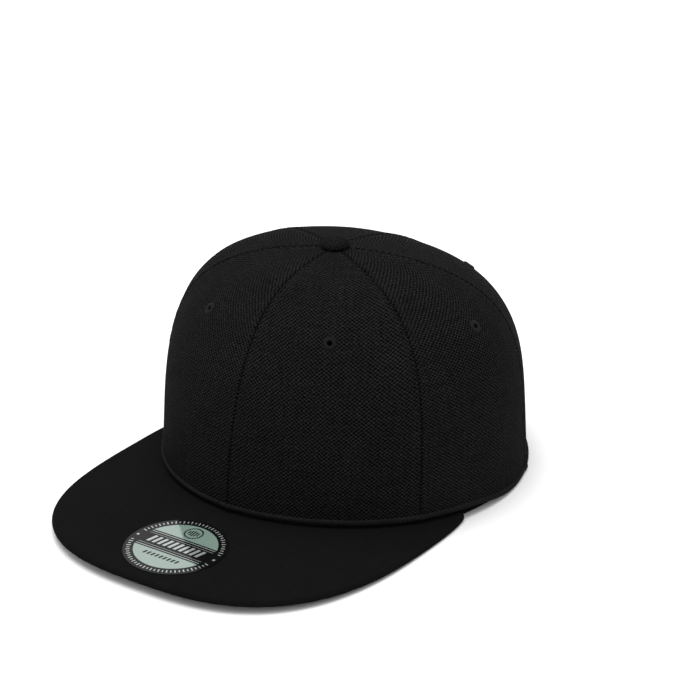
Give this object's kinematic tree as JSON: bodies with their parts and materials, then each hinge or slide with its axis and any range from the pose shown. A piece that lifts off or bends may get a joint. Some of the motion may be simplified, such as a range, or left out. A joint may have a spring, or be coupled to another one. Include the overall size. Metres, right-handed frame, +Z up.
{
  "type": "fitted baseball cap",
  "caption": "Fitted baseball cap: boxy closed crown of sewn cloth panels, rolled hem, covered top button, stitched eyelets and a wide flat brim with a round sticker.",
  "frame": {"origin": "on the surface that the cap stands on, under the middle of the whole cap's box", "axes": "+Z up, -Y toward the tip of the brim, which is the front, +X toward the wearer's left"},
  "size_m": [0.1892, 0.2702, 0.1234],
  "materials": {
    "crown_cloth": "matte woven acrylic cloth, near black",
    "hem_cloth": "matte rolled cloth edge, near black",
    "brim_cloth": "matte tight cloth over a stiff board, near black",
    "band_cloth": "matte plain band, black",
    "eyelet_thread": "satin stitched thread, near black",
    "sticker_film": "satin film in two greens with a dark bar and a grey ring"
  },
  "bodies": {
    "root": {"panel_front_left": "crown_cloth", "panel_front_right": "crown_cloth", "panel_side_left": "crown_cloth", "panel_side_right": "crown_cloth", "panel_rear_left": "crown_cloth", "panel_rear_right": "crown_cloth", "crown_hem": "hem_cloth", "brim": "brim_cloth", "sweatband": "band_cloth", "button": "crown_cloth", "eyelet_front_left": "eyelet_thread", "eyelet_front_right": "eyelet_thread", "eyelet_side_left": "eyelet_thread", "eyelet_side_right": "eyelet_thread", "eyelet_rear_left": "eyelet_thread", "eyelet_rear_right": "eyelet_thread", "brim_sticker": "sticker_film"}
  },
  "joints": []
}
